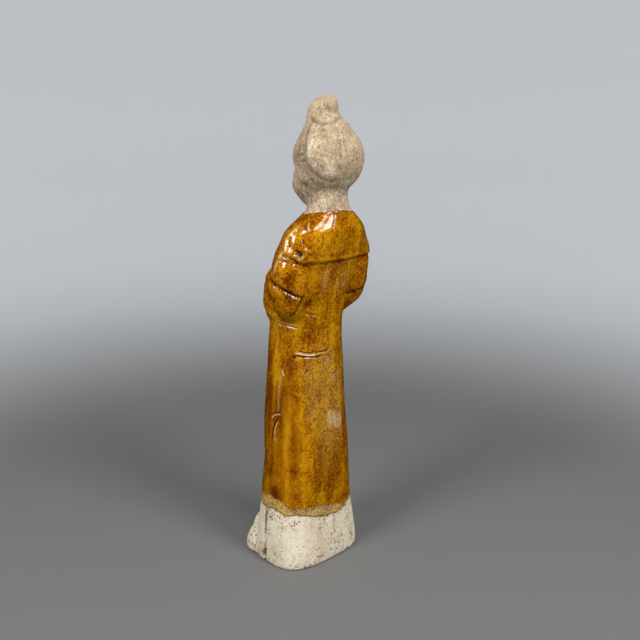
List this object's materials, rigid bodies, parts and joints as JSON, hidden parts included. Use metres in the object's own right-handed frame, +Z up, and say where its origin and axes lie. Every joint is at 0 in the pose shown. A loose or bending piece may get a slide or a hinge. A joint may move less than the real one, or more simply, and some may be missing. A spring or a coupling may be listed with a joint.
{
  "type": "court lady figurine",
  "caption": "Slender standing court lady in glazed earthenware, hands joined in full sleeves under a shawl, hair drawn up into a topknot, long plain skirt over raised shoe tips.",
  "frame": {"origin": "middle of the flat underside of the hem", "axes": "+Z up along the standing figure, -Y the way she faces, +X towards her left hand"},
  "size_m": [0.0706, 0.0633, 0.2701],
  "materials": {
    "amber_glaze": "glossy crackled lead glaze over pale earthenware, bare and matt at the head and the hem"
  },
  "bodies": {
    "root": {"court_lady": "amber_glaze"}
  },
  "joints": []
}
